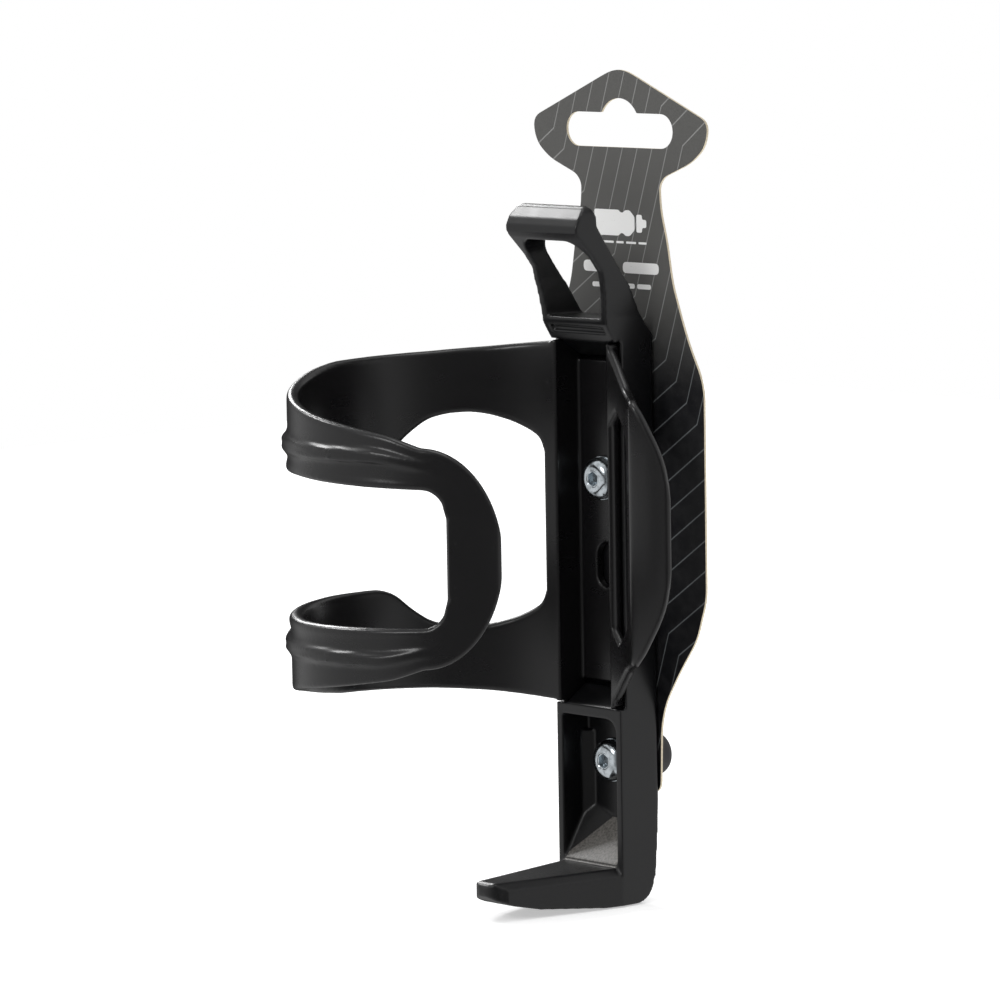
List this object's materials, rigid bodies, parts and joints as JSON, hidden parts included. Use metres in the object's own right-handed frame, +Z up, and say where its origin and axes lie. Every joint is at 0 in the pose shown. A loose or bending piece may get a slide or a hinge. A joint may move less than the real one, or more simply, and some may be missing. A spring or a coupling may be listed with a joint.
{
  "type": "water bottle cage",
  "caption": "Side-entry plastic bottle cage: a spine with hook and foot, a one-piece clip arm, frame screws with washers and retaining caps, and its hang card.",
  "frame": {"origin": "midway between the two frame screws, in the plane of the spine's back face", "axes": "+Y out of the back face towards the bicycle frame, +Z up along the bottle, +X the side the bottle enters from; the bottle's axis is parallel to Z at Y = -48 mm"},
  "size_m": [0.0715, 0.0998, 0.1862],
  "materials": {
    "spine_plastic": "moulded black nylon, satin with a soft sheen",
    "arm_plastic": "moulded black nylon, smooth satin with broad soft highlights",
    "zinc_steel": "bright bluish zinc plate",
    "cap_plastic": "dull dark grey-black moulded plastic",
    "card": "printed board, charcoal fading to near black, thin pale lines, cream cut edge"
  },
  "bodies": {
    "spine_and_card": {"spine": "spine_plastic", "hang_card": "card", "lower_washer": "zinc_steel", "upper_cap": "cap_plastic", "lower_cap": "cap_plastic"},
    "side_arm": {"side_arm": "arm_plastic", "upper_washer": "zinc_steel"},
    "upper_screw": {"upper_screw": "zinc_steel"},
    "lower_screw": {"lower_screw": "zinc_steel"}
  },
  "joints": [
    {"name": "arm_release", "type": "slide", "parent": "spine_and_card", "child": "side_arm", "axis": [0, -1, 0], "range_m": [0, 0.03]},
    {"name": "upper_screw_turn", "type": "hinge", "parent": "side_arm", "child": "upper_screw", "pos_m": [0, 0, 0.032], "axis": [0, -1, 0], "continuous": true},
    {"name": "lower_screw_turn", "type": "hinge", "parent": "spine_and_card", "child": "lower_screw", "pos_m": [0, 0, -0.032], "axis": [0, -1, 0], "continuous": true}
  ]
}
